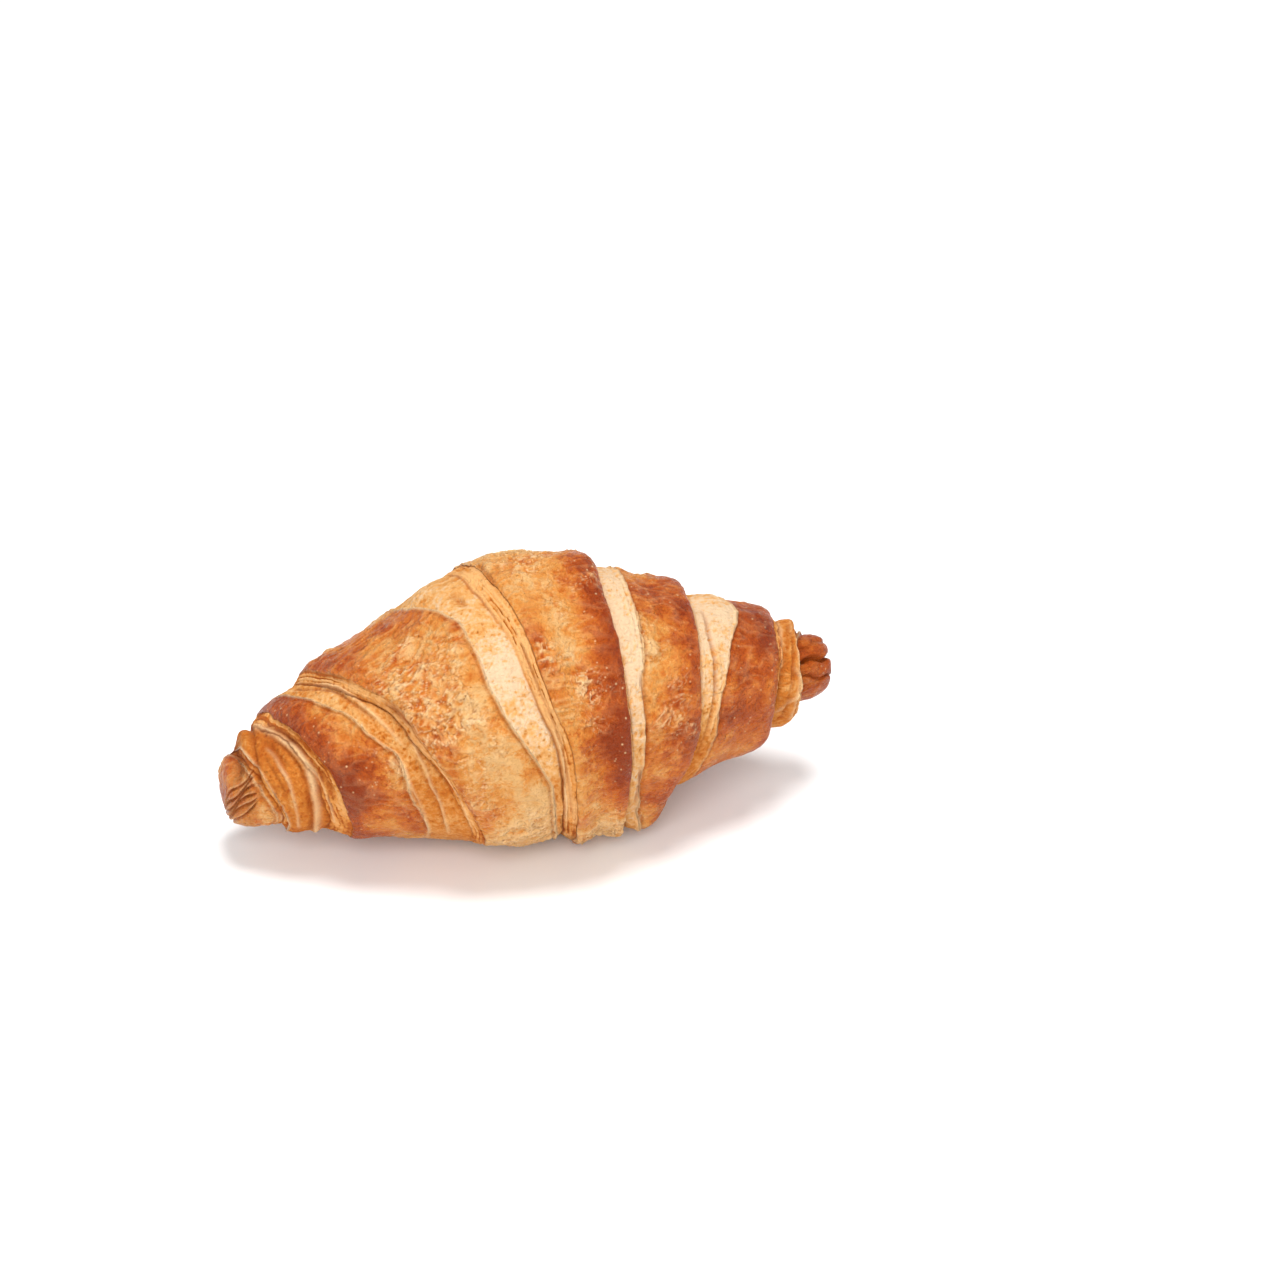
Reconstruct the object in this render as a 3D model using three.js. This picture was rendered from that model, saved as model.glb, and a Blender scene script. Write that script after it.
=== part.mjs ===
// A baked croissant in millimetres, +Z up, its length along X and its sole on z = 0.
//
// One triangle of laminated dough is rolled up from its base to its tip. The free edges of the
// triangle therefore run round the roll as two spirals, one towards each end, that start together
// at the tip under the belly. Each turn of an edge is a step down onto the wrap below it. The whole
// skin is one grid: its rows go once round the roll from the tip, and its columns follow the two
// spirals, so that the last row meets the first row one wrap further out.

import * as THREE from "three";
import { ParametricGeometry } from "three/addons/geometries/ParametricGeometry.js";
import { mergeVertices } from "three/addons/utils/BufferGeometryUtils.js";

const { clamp, lerp, smoothstep, degToRad } = THREE.MathUtils;

// The body, without its steps.
const HALF_LENGTH = 75; // middle to either end
const BELLY_RADIUS = 34.4;
const BELLY_HEIGHT = 32.5; // of the roll's axis over the sole, in the middle
const DROOP = { left: 15.5, right: 2.3 }; // how far the axis sinks at each end
const BOW = 4; // how far both ends curve away towards +Y

// Station along the half length, and the radius there as a share of the belly's.
const OUTLINE = {
  left: [
    [0, 1], [0.2, 0.95], [0.4, 0.785], [0.6, 0.63], [0.8, 0.435], [0.92, 0.32], [0.98, 0.22],
    [1, 0],
  ],
  right: [
    [0, 1], [0.2, 0.93], [0.4, 0.75], [0.6, 0.583], [0.78, 0.415], [0.86, 0.305], [0.93, 0.24],
    [0.98, 0.17], [1, 0],
  ],
};

// Tables along the spirals are pairs: turns from the tip, and a value there. A quarter turn from the
// tip lies on the front, half a turn on the top, three quarters on the back, a whole one below.
const TURNS = 4;
// How far the edge lies from the middle, along the skin. Both edges run on to the end of the skin.
const EDGE = {
  left: [
    [0, -9], [0.25, -3], [0.33, -1.6], [0.4, 2.6], [0.5, 6.6], [0.58, 11], [0.7, 16], [0.85, 17.5],
    [1, 16], [1.2, 17.6], [1.29, 24], [1.37, 32.4], [1.42, 36.2], [1.5, 46.3], [1.6, 54],
    [1.75, 57], [2, 50], [2.18, 48.7], [2.33, 52.9], [2.43, 58.7], [2.55, 65.3], [2.7, 67.5],
    [3, 64.5], [3.2, 64], [3.35, 68.3], [3.5, 73.5], [3.7, 78],
  ],
  right: [
    [0, 11], [0.16, 16.2], [0.39, 15.9], [0.6, 15.3], [0.8, 19], [1, 24], [1.2, 30], [1.3, 35],
    [1.4, 37.6], [1.5, 39.2], [1.6, 39.6], [1.8, 45], [2, 54], [2.17, 57.9], [2.3, 58.6],
    [2.42, 60.9], [2.6, 63.8], [2.8, 65.3], [3, 66.6], [3.42, 67.1], [3.55, 69.3], [3.7, 72.5],
  ],
};
// The height of the step, as a share of the usual one.
const STEP = {
  left: [
    [0, 0], [0.1, 1], [0.42, 1], [0.6, 0.5], [0.9, 0.4], [1.15, 0.15], [1.33, 0.9], [1.5, 0.8],
    [1.65, 0.55], [2, 0.5], [2.2, 0.5], [2.35, 0.8], [2.55, 0.55], [3, 0.6], [4, 0],
  ],
  right: [
    [0, 0], [0.1, 1], [0.35, 1], [0.5, 1.25], [0.62, 1.1], [1, 1], [1.55, 1.1], [2.3, 1.3],
    [2.5, 0.7], [3, 0.8], [3.5, 1.4], [3.7, 0.8], [4, 0],
  ],
};
// The width of the step.
const CUT = {
  left: [
    [0, 1.5], [0.22, 2.3], [0.37, 3.6], [0.46, 3.7], [0.51, 4.6], [0.62, 4], [0.8, 3], [1.2, 3],
    [1.4, 2.4], [1.6, 2.6], [2, 4], [2.15, 6.5], [2.36, 4.6], [2.48, 3.2], [2.6, 4], [3, 1.6],
    [4, 1],
  ],
  right: [
    [0, 1.5], [0.25, 1.1], [0.45, 1.1], [0.8, 2], [1.2, 2.2], [1.45, 1.2], [1.55, 2], [2, 2.2],
    [2.6, 2], [3, 1.3], [4, 1],
  ],
};
const TIP_PLACE = 10; // where the tip of the dough lies, towards the right end
const TIP_ANGLE = 200; // degrees from the top, over the front and under the belly
const TIP_WIDTH = 9;
const TIP_ROUNDING = 0.12; // turns over which the tip widens

// Swellings of the dough: the side, turns from the tip, distance from the middle, radius and height.
const PUFFS = [
  ["left", 0.6, 20, 10, 1.9],
  ["left", 0.58, 2, 12, 2.6],
  ["right", 0.56, 8, 7, 2.3],
  ["right", 0.15, 21, 5, 4.2],
  ["right", 0.1, 9, 7, 1.6],
  ["left", 1.15, 17, 8, -1],
];

// The usual step.
const SHOULDER_RISE = 1.9; // of the wrap's rounded shoulder over the smooth body
const SHOULDER_REACH = 12; // how far the rise runs back from the edge
const ROUNDING = 1.4; // how far the shoulder rounds down to its edge
const ROUNDING_REACH = 3.5;
const GROOVE_DEPTH = 1.5; // of the foot of the step under the smooth body
const GROOVE_REACH = 9; // from the foot of the step to the smooth body

// Where a wrap is narrow, its step and its rounding take no more than these shares of it.
const CUT_SHARE = 0.45;
const ROUNDING_SHARE = 0.25;

// The grid.
const COLUMNS_PER_WRAP = 7;
const ROWS = 88;
const MERGE_DISTANCE = 1e-3;
// Turns from which the first wrap's columns draw apart, to meet the step at the end of its turn.
const STEP_START = 0.5;
const MIDDLE_START = 0.6;

const CRUST_COLOUR = 0xd98a42;

// A smooth curve through pairs of places and values, which never overshoots them.
function curve(pairs, place) {
  const last = pairs.length - 2;
  const wanted = clamp(place, pairs[0][0], pairs[last + 1][0]);
  const number = clamp(pairs.findIndex(([knot]) => knot > wanted) - 1, 0, last);
  const from = wanted < pairs[last + 1][0] ? number : last;
  const run = pairs[from + 1][0] - pairs[from][0];
  const t = (wanted - pairs[from][0]) / run;
  return (
    (2 * t ** 3 - 3 * t ** 2 + 1) * pairs[from][1] +
    (t ** 3 - 2 * t ** 2 + t) * run * slopeAt(pairs, from) +
    (3 * t ** 2 - 2 * t ** 3) * pairs[from + 1][1] +
    (t ** 3 - t ** 2) * run * slopeAt(pairs, from + 1)
  );
}

function rise(pairs, number) {
  return (pairs[number + 1][1] - pairs[number][1]) / (pairs[number + 1][0] - pairs[number][0]);
}

// The slope of the smooth curve at one of its pairs.
function slopeAt(pairs, number) {
  if (number === 0) return rise(pairs, 0);
  if (number === pairs.length - 1) return rise(pairs, number - 1);
  const before = rise(pairs, number - 1);
  const after = rise(pairs, number);
  return before * after <= 0 ? 0 : (2 * before * after) / (before + after);
}

// The smooth body's outline towards one end, measured along the skin.
class Outline extends THREE.Curve {
  constructor(pairs) {
    super();
    this.stations = pairs.map(([station], number) => [number, station * HALF_LENGTH]);
    this.radii = pairs.map(([, share], number) => [number, share * BELLY_RADIUS]);
    this.arcLengthDivisions = 1000;
    this.length = this.getLength();
  }
  getPoint(t, target = new THREE.Vector2()) {
    const place = t * (this.stations.length - 1);
    return target.set(curve(this.stations, place), curve(this.radii, place));
  }
}

const outline = { left: new Outline(OUTLINE.left), right: new Outline(OUTLINE.right) };
const edgeTable = {};
for (const side of ["left", "right"])
  edgeTable[side] = [...EDGE[side], [TURNS, outline[side].length]];

// The place of an edge along the skin, after some turns from the tip.
function edgePlace(side, turns) {
  const place = curve(edgeTable[side], turns);
  const start = side === "left" ? -TIP_PLACE : TIP_PLACE;
  const young = Math.max(0, 1 - turns / TIP_ROUNDING);
  const widening = Math.sqrt(1 - young * young);
  return start + (place - start) * widening + (TIP_WIDTH / 2) * young * widening;
}

// The width of the step at the inner side of a wrap.
function cutWidth(side, turns, width) {
  return Math.min(curve(CUT[side], turns), width * CUT_SHARE);
}

// The rise of the skin towards the edge of its own wrap.
function shoulder(toEdge, width) {
  const swell = smoothstep(1 - toEdge / Math.min(SHOULDER_REACH, width), 0, 1);
  const turned = clamp(1 - toEdge / ROUNDING_REACH, 0, 1);
  return SHOULDER_RISE * swell - ROUNDING * (1 - Math.sqrt(1 - turned ** 2));
}

// The step down from the edge of the wrap above, and the groove at its foot.
function step(fromEdge, cut, width) {
  if (fromEdge < cut) return lerp(SHOULDER_RISE - ROUNDING, -GROOVE_DEPTH, fromEdge / cut);
  const reach = Math.min(GROOVE_REACH, width - cut);
  return -GROOVE_DEPTH * (1 - smoothstep((fromEdge - cut) / reach, 0, 1));
}

// The height of the swellings, at a signed distance from the middle.
function puffed(distance, turns) {
  let height = 0;
  for (const [side, puffTurns, place, radius, puffHeight] of PUFFS) {
    const around = 2 * Math.PI * outline[side].getPointAt(place / outline[side].length).y;
    const away = THREE.MathUtils.euclideanModulo(turns - puffTurns + 0.5, 1) - 0.5;
    const along = (side === "left" ? -distance : distance) - place;
    height += puffHeight * Math.exp(-((Math.hypot(away * around, along) / radius) ** 2));
  }
  return height;
}

// A point of the skin at a signed distance from the middle, raised over the smooth body.
function skinPoint(distance, turns, stepHeight, target) {
  const end = distance < 0 ? "left" : "right";
  const share = clamp(Math.abs(distance) / outline[end].length, 0, 1);
  const place = outline[end].getPointAt(share);
  const tangent = outline[end].getTangentAt(share);
  const height = stepHeight + puffed(distance, turns);
  const station = place.x - height * tangent.y;
  const radius = Math.max(0, place.y + height * tangent.x);
  const bend = (station / HALF_LENGTH) ** 2;
  const angle = degToRad(TIP_ANGLE - 360 * turns);
  target.set(
    end === "left" ? -station : station,
    BOW * bend - radius * Math.sin(angle),
    Math.max(0, BELLY_HEIGHT - DROOP[end] * bend + radius * Math.cos(angle)),
  );
}

// Columns across a wrap: the first one spans the step, from nothing to all of it as the share
// grows, and the last one the rounding of the edge.
function spacing(across, width, cut, stepShare) {
  if (width === 0) return across;
  const first = 1 / COLUMNS_PER_WRAP;
  const last = 1 - first;
  const edge = 1 - Math.min(ROUNDING_REACH / width, ROUNDING_SHARE);
  if (across >= last) return lerp(edge, 1, (across - last) / first);
  const plain = (across / last) * edge;
  const stepped =
    across < first
      ? (across / first) * (cut / width)
      : lerp(cut / width, edge, (across - first) / (last - first));
  return lerp(plain, stepped, stepShare);
}

// A point of the grid: u goes from the left end to the right one, and v once round from the tip.
function gridPoint(u, v, target) {
  const wraps = (2 * u - 1) * (TURNS + 1);
  const side = wraps < 0 ? "left" : "right";
  const sign = wraps < 0 ? -1 : 1;
  const wrap = Math.min(Math.floor(Math.abs(wraps)), TURNS);
  const across = Math.abs(wraps) - wrap;
  const outer = edgePlace(side, v + wrap);
  let inner;
  if (wrap > 0) {
    inner = edgePlace(side, v + wrap - 1);
  } else {
    const middle = (edgePlace("right", v) - edgePlace("left", v)) / 2;
    inner = sign * lerp(middle, TIP_PLACE, smoothstep(v, MIDDLE_START, 1));
  }
  const width = outer - inner;
  const cut = cutWidth(side, Math.max(v + wrap - 1, 0), width);
  const stepShare = wrap > 0 ? 1 : smoothstep(v, STEP_START, 1);
  const distance = lerp(inner, outer, spacing(across, width, cut, stepShare));
  let height = curve(STEP[side], v + wrap) * shoulder(outer - distance, width);
  if (wrap > 0) height += curve(STEP[side], v + wrap - 1) * step(distance - inner, cut, width);
  skinPoint(sign * distance, v, width === 0 ? 0 : height, target);
}

const columns = 2 * (TURNS + 1) * COLUMNS_PER_WRAP;
let skin = new ParametricGeometry(gridPoint, columns, ROWS);
skin.deleteAttribute("normal");
skin.deleteAttribute("uv");
skin = mergeVertices(skin, MERGE_DISTANCE);
skin.computeBoundingBox();
const middle = skin.boundingBox.getCenter(new THREE.Vector3());
skin.translate(-middle.x, -middle.y, -skin.boundingBox.min.z);
skin.computeVertexNormals();

const crust = new THREE.MeshStandardMaterial({ color: CRUST_COLOUR, roughness: 0.5, metalness: 0 });
const croissant = new THREE.Mesh(skin, crust);
croissant.name = "croissant";

const group = new THREE.Group();
group.add(croissant);

export default group;
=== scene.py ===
"""A baked croissant, modelled from how it is made.

One triangle of laminated dough is rolled up from its base to its tip. The free edges of the triangle
run round the roll as two spirals, one towards each end, and each turn of an edge is a step down onto
the wrap below it. The skin is one closed mesh: its rows go once round the roll from the tip under the
belly, its columns follow the two spirals, and the last row meets the first one wrap further out.

Lengths in the modelling sections are millimetres, turned into metres when the mesh is made.
"""

import math
from concurrent.futures import ThreadPoolExecutor
from types import SimpleNamespace

import bpy
import numpy as np
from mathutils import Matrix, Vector


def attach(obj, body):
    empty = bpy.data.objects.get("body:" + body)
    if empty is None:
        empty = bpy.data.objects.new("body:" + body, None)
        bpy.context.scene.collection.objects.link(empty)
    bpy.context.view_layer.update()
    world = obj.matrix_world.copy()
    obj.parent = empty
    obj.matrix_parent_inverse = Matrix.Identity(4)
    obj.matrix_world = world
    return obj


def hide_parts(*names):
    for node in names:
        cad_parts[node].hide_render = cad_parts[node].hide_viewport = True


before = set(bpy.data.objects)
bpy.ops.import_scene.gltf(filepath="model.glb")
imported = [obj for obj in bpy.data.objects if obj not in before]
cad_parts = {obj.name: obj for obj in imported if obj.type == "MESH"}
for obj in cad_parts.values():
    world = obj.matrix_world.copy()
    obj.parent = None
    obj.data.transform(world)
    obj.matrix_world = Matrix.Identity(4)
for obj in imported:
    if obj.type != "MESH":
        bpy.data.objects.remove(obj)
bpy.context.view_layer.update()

MM = 0.001

# ---------------------------------------------------------------- the croissant's sizes

HALF_LENGTH = 74.9
BELLY_RADIUS = 34.0
BELLY_HEIGHT = 32.5  # of the roll's axis over the sole, in the middle
DROOP = {"left": 15.5, "right": 2.3}  # how far the axis sinks at each end
BOW = 4.0  # how far both ends curve away towards +Y

# Station along the half length, and the radius there as a share of the belly's.
OUTLINE = {
    "left": [(0, 1), (0.2, 0.95), (0.4, 0.785), (0.6, 0.63), (0.8, 0.435), (0.92, 0.32), (0.98, 0.22),
             (1, 0)],
    "right": [(0, 1), (0.2, 0.93), (0.4, 0.75), (0.6, 0.583), (0.78, 0.415), (0.86, 0.305), (0.93, 0.24),
              (0.98, 0.17), (1, 0)],
}  # fmt: skip

# Tables along the spirals are pairs: turns from the tip, and a value there. A quarter turn from the
# tip lies on the front, half a turn on the top, three quarters on the back, a whole one below.
TURNS = 4
# How far the edge lies from the middle, along the skin. Both edges run on to the end of the skin.
EDGE = {
    "left": [
        (0, -9), (0.25, -3), (0.33, -1.6), (0.4, 2.6), (0.5, 6.6), (0.58, 11), (0.7, 16), (0.85, 17.5),
        (1.0, 16), (1.2, 17.6), (1.29, 24), (1.37, 32.4), (1.42, 36.2), (1.5, 46.3), (1.6, 54), (1.75, 57),
        (2.0, 50), (2.18, 48.7), (2.33, 52.9), (2.43, 58.7), (2.55, 65.3), (2.7, 67.5),
        (3.0, 64.5), (3.2, 64), (3.35, 68.3), (3.5, 73.5), (3.7, 78),
    ],
    "right": [
        (0, 11), (0.16, 16.2), (0.39, 15.9), (0.6, 15.3), (0.8, 19),
        (1.0, 24), (1.2, 30), (1.3, 35), (1.4, 37.6), (1.5, 39.2), (1.6, 39.6), (1.8, 45),
        (2.0, 54), (2.17, 57.9), (2.3, 58.6), (2.42, 60.9), (2.6, 63.8), (2.8, 65.3),
        (3.0, 66.6), (3.42, 67.1), (3.55, 69.3), (3.7, 72.5),
    ],
}  # fmt: skip
# The height of the step, as a share of the usual one.
STEP = {
    "left": [(0, 0), (0.1, 1), (0.42, 1), (0.6, 0.5), (0.9, 0.4), (1.15, 0.15), (1.33, 0.9), (1.5, 0.8),
             (1.65, 0.55), (2, 0.5), (2.2, 0.5), (2.35, 0.8), (2.55, 0.55), (3, 0.6), (4, 0)],
    "right": [(0, 0), (0.1, 1), (0.35, 1), (0.5, 1.25), (0.62, 1.1), (1, 1), (1.55, 1.1), (2.3, 1.3),
              (2.5, 0.7), (3, 0.8), (3.5, 1.4), (3.7, 0.8), (4, 0)],
}  # fmt: skip
# The width of the torn, leafy face of the step.
CUT = {
    "left": [(0, 1.5), (0.22, 2.3), (0.37, 3.6), (0.46, 3.7), (0.51, 4.6), (0.62, 4), (0.8, 3), (1.2, 3),
             (1.4, 2.4), (1.6, 2.6), (2, 4), (2.15, 6.5), (2.36, 4.6), (2.48, 3.2), (2.6, 4), (3, 1.6),
             (4, 1)],
    "right": [(0, 1.5), (0.25, 1.1), (0.45, 1.1), (0.8, 2), (1.2, 2.2), (1.45, 1.2), (1.55, 2), (2, 2.2),
              (2.6, 2), (3, 1.3), (4, 1)],
}  # fmt: skip
# The width of the bare dough beyond it, which rose after the egg wash.
BARE = {
    "left": [(0, 2), (0.28, 2.3), (0.32, 4.9), (0.36, 7.2), (0.43, 8.6), (0.47, 8), (0.5, 7.6), (0.54, 10),
             (0.6, 14), (0.75, 6), (1, 6), (1.2, 11), (1.28, 9.4), (1.36, 4.8), (1.41, 6.8), (1.5, 5.2),
             (1.8, 5), (2, 12), (2.9, 12), (3.05, 1.5), (4, 1)],
    "right": [(0, 2), (0.24, 2.9), (0.38, 4.1), (0.45, 5.4), (0.52, 6.6), (0.8, 4.5), (1, 4), (1.2, 5),
              (1.34, 4.4), (1.42, 7.2), (1.55, 11), (1.7, 6), (2, 14), (2.9, 14), (3.05, 1.5), (4, 1)],
}  # fmt: skip
# How dark the bare dough bakes, from cream to tan.
TOAST = {
    "left": [(0, 0.25), (0.15, 0.3), (0.25, 0.42), (0.31, 0.34), (0.36, 0.1), (0.42, 0.04), (0.5, 0.22),
             (0.6, 0.35), (0.8, 0.45), (1, 0.6), (1.3, 0.6), (1.4, 0.45), (1.5, 0.4), (2, 0.75),
             (2.5, 0.72), (5, 0.8)],
    "right": [(0, 0.35), (0.25, 0.3), (0.35, 0.15), (0.5, 0), (0.7, 0.2), (1, 0.6), (1.25, 0.62),
              (1.35, 0.35), (1.5, 0.02), (1.7, 0.3), (2, 0.65), (2.55, 0.55), (3, 0.7), (5, 0.8)],
}  # fmt: skip
# How dark each wrap of the washed skin bakes, from gold to chestnut, and how much more at its edge.
BROWNING = {
    "left": [(0, 0.1), (1, 0.1), (1.2, 0.04), (1.35, 0.14), (1.6, 0.32), (2.15, 0.28), (2.4, 0.32),
             (3, 0.34), (3.9, 0.28), (5, 0.3)],
    "right": [(0, 0.12), (1, 0.12), (1.2, 0.33), (1.5, 0.33), (2, 0.45), (2.5, 0.52), (3, 0.6), (3.9, 0.7),
              (5, 0.8)],
}  # fmt: skip
EDGE_BROWNING = {
    "left": [(0, 0.2), (0.2, 0.15), (0.35, 0), (1, 0.15), (1.3, 0.05), (1.6, 0.25), (2, 0.32), (2.2, 0.38),
             (2.5, 0.4), (3, 0.25), (5, 0)],
    "right": [(0, 0), (0.2, 0), (0.24, 0.28), (0.29, 0.82), (0.4, 0.78), (0.5, 0.42), (0.6, 0.3),
              (1, 0.35), (1.3, 0.15), (1.45, 0.28), (2, 0.2), (2.5, 0.12), (3, 0.15), (5, 0)],
}  # fmt: skip
BROWN_REACH = 8.5  # how far back from an edge it is browner

TIP_PLACE = 10.0  # where the tip of the dough lies, towards the right end
TIP_ANGLE = 200.0  # degrees from the top, over the front and under the belly
TIP_WIDTH = 9.0
TIP_ROUNDING = 0.12  # turns over which the tip widens and its step grows

# Single lines of torn dough along the spirals, raised or sunk: the side, the height and the width,
# then pairs of turns from the tip and distance from the middle.
LINES = [
    # folds and a crevice over the crown's left edge
    ("left", -2.0, 0.8, [(0.52, 16.3), (0.54, 17.2), (0.565, 19.8)]),
    ("left", -0.9, 0.5, [(0.53, 8.6), (0.56, 9.5), (0.6, 11)]),
    ("right", -0.5, 0.35, [(0.515, -4), (0.535, 1), (0.53, 6), (0.527, 11)]),
    # the crack across the crown's torn face
    ("left", -0.5, 0.3, [(0.23, -2.6), (0.29, -1.0), (0.34, 0.4), (0.41, 4.6), (0.47, 6.9)]),
    ("left", 0.5, 0.3, [(0.22, -1.6), (0.27, -0.4), (0.33, 0.6), (0.37, 2.6)]),
    # red cracks beside the first right edge
    ("right", -0.7, 0.4, [(0.3, 20.6), (0.34, 21.4), (0.38, 21.1), (0.42, 21.5)]),
    ("right", -0.7, 0.4, [(0.2, 19.2), (0.25, 20.1), (0.29, 20.2)]),
    # the second right edge's folded band
    ("right", -0.6, 0.4, [(1.24, 36.2), (1.3, 39.1), (1.36, 41.7), (1.45, 42.9), (1.56, 44.3)]),
    ("right", 0.4, 0.35, [(1.28, 39.4), (1.36, 42.7), (1.45, 44.1), (1.53, 46)]),
    ("right", 0.4, 0.3, [(1.22, 34.4), (1.3, 36.8), (1.37, 38.9), (1.45, 40.3), (1.55, 42.6)]),
    # the second left edge's strands and pocket
    ("left", -0.7, 0.4, [(1.41, 41.1), (1.45, 45.5), (1.51, 50.3), (1.57, 56.7), (1.61, 59)]),
    ("left", 0.5, 0.4, [(1.36, 36), (1.4, 39.4), (1.45, 44.2), (1.51, 49.2), (1.58, 56)]),
    ("left", -1.3, 0.6, [(1.38, 33.6), (1.4, 34.9), (1.43, 37.8), (1.45, 40.6)]),
    ("left", 0.6, 0.35, [(1.18, 25.6), (1.24, 27.7), (1.31, 31.2), (1.36, 34), (1.39, 35.6)]),
    ("left", -0.4, 0.35, [(1.19, 26.6), (1.25, 28.8), (1.32, 32.6), (1.36, 35)]),
    ("left", 0.6, 0.35, [(1.18, 30.2), (1.23, 31.8), (1.3, 34.9), (1.35, 37.2)]),
    ("left", -0.4, 0.35, [(1.19, 31.2), (1.25, 33), (1.31, 36)]),
    ("left", 0.4, 0.3, [(1.2, 20.4), (1.26, 23), (1.32, 28), (1.35, 31.6)]),
    # the gap, the red ridge and the dark fold at the third left edge
    ("left", -1.4, 0.6, [(2.3, 53.2), (2.35, 56.2), (2.41, 59.7), (2.49, 64.2), (2.56, 68.2)]),
    ("left", 0.9, 0.8, [(2.1, 56.8), (2.27, 57.7), (2.36, 59), (2.43, 62), (2.53, 67.3), (2.62, 71)]),
    ("left", -0.7, 0.4, [(2.15, 58.2), (2.28, 59.4), (2.38, 61.2), (2.45, 64.6), (2.53, 69)]),
    ("left", 0.5, 0.35, [(2.2, 53), (2.3, 55.3), (2.38, 58.9), (2.46, 62.9)]),
    ("left", -0.9, 0.8, [(2.38, 63.6), (2.43, 65.8), (2.51, 68.9)]),
    # the folded strips at the third right edge
    ("right", -0.6, 0.5, [(2.28, 60.4), (2.35, 62), (2.45, 64.6), (2.56, 67.6)]),
    ("right", 0.6, 0.4, [(2.24, 60.6), (2.29, 63.6), (2.33, 66.6), (2.36, 66.2), (2.4, 64.6)]),
    ("right", 0.5, 0.4, [(2.2, 59.6), (2.3, 60), (2.4, 62.4), (2.5, 64.6), (2.6, 66)]),
    ("right", -0.7, 0.4, [(2.2, 62.4), (2.32, 63.8), (2.42, 65.4), (2.52, 67)]),
    ("right", 0.5, 0.35, [(2.2, 64.2), (2.3, 65.2), (2.4, 66.4), (2.5, 68.2)]),
    ("left", 0.5, 0.35, [(2.2, 61.5), (2.3, 62.6), (2.4, 65.2), (2.47, 68)]),
    ("left", -0.5, 0.35, [(2.22, 63), (2.3, 64.2), (2.38, 66.5), (2.45, 69.2)]),
    # a flake's pale edge across the crown's top
    ("right", 0.6, 0.4, [(0.5, -5), (0.523, 0), (0.52, 6), (0.517, 11)]),
]

# Swellings of the dough: the side, turns from the tip, distance from the middle, radius and height.
PUFFS = [
    ("left", 0.6, 20, 10, 1.9),
    ("left", 0.58, 2, 12, 2.6),
    ("right", 0.56, 8, 7, 2.3),
    ("right", 0.15, 21, 5, 4.2),
    ("right", 0.1, 9, 7, 1.6),
    ("left", 1.15, 17, 8, -1.0),
]

# Patches baked darker or, below nought, lighter: the same, with an amount of browning.
STAINS = [
    ("left", 0.45, 3, 4.5, 0.35),
    ("left", 0.41, 6.5, 4, 0.15),
    ("right", 0.3, 3, 8, 0.12),
    ("right", 0.57, 8, 8, 0.18),
    ("left", 1.3, 25, 8, 0.1),
    ("left", 1.39, 21, 6, -0.1),
    ("left", 1.25, 7, 6, -0.25),
    ("right", 0.19, 14, 8, -0.15),
    ("left", 1.58, 41, 8, 0.15),
    ("left", 2.44, 44.5, 6, -0.2),
    ("left", 2.41, 53, 5, 0.18),
    ("left", 2.3, 50, 5, 0.3),
    ("left", 2.28, 41, 5, -0.08),
    ("right", 1.53, 30, 6, 0.15),
    ("right", 1.41, 27, 6, -0.12),
    ("right", 1.5, 38.5, 6, 0.12),
]

# Patches where the skin lies in loose flakes: the same, with an amount of flaking.
FLAKES = [
    ("left", 1.46, 31, 11, 0.8),
    ("left", 1.38, 21, 8, 0.7),
    ("left", 1.33, 33, 7, 0.5),
    ("left", 0.45, 3, 6, 0.6),
    ("left", 0.54, 1, 9, 0.5),
    ("left", 0.2, 12, 8, 0.6),
    ("right", 0.16, 6, 10, 0.9),
    ("right", 0.2, 16, 7, 0.9),
    ("right", 0.38, 8, 8, 0.35),
    ("right", 1.44, 27, 8, 0.6),
    ("right", 1.36, 26, 6, 0.4),
    ("left", 2.33, 38, 7, 0.4),
    ("left", 1.25, 8, 8, 0.7),
]

# The crumpled ends: where they begin and are fully crumpled, as distances from the middle, and the
# creases across them, as the height over the axis, the depth and the width of each.
RIGHT_END = (68.0, 70.5)
LEFT_END = (71.0, 73.0)
RIGHT_CREASES = [(1.2, 1.9, 0.7), (-3.4, 0.7, 0.4), (5.4, 0.5, 0.5)]
LEFT_CREASES = [(place, 0.8, 0.25) for place in (-0.6, -1.9, -3.0, -4.2, -5.3, -6.6)]
CREASE_TILT = 30  # degrees about the axis
# On the way to the left tip: a gap, a raised ring and a sunk core, each as its distance from the
# middle and its width.
LEFT_GAP = (70.6, 0.6)
LEFT_RING = (72.5, 1.1)
LEFT_CORE = (76.5, 2.2)

# The usual step.
SHOULDER_RISE = 1.9  # of the wrap's rounded shoulder over the smooth body
SHOULDER_REACH = 12.0  # how far the rise runs back from the edge
ROUNDING = 1.4  # how far the shoulder rounds down to its edge
ROUNDING_REACH = 3.5
GROOVE_DEPTH = 1.9  # of the foot of the step under the smooth body
GROOVE_REACH = 9.0  # from the foot of the step to the smooth body
LEAVES_PER_MM = 1.1  # of the cut, between one and MOST_LEAVES
MOST_LEAVES = 5
LINE_FADE = 0.025  # turns over which a single line of torn dough comes and goes

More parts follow.
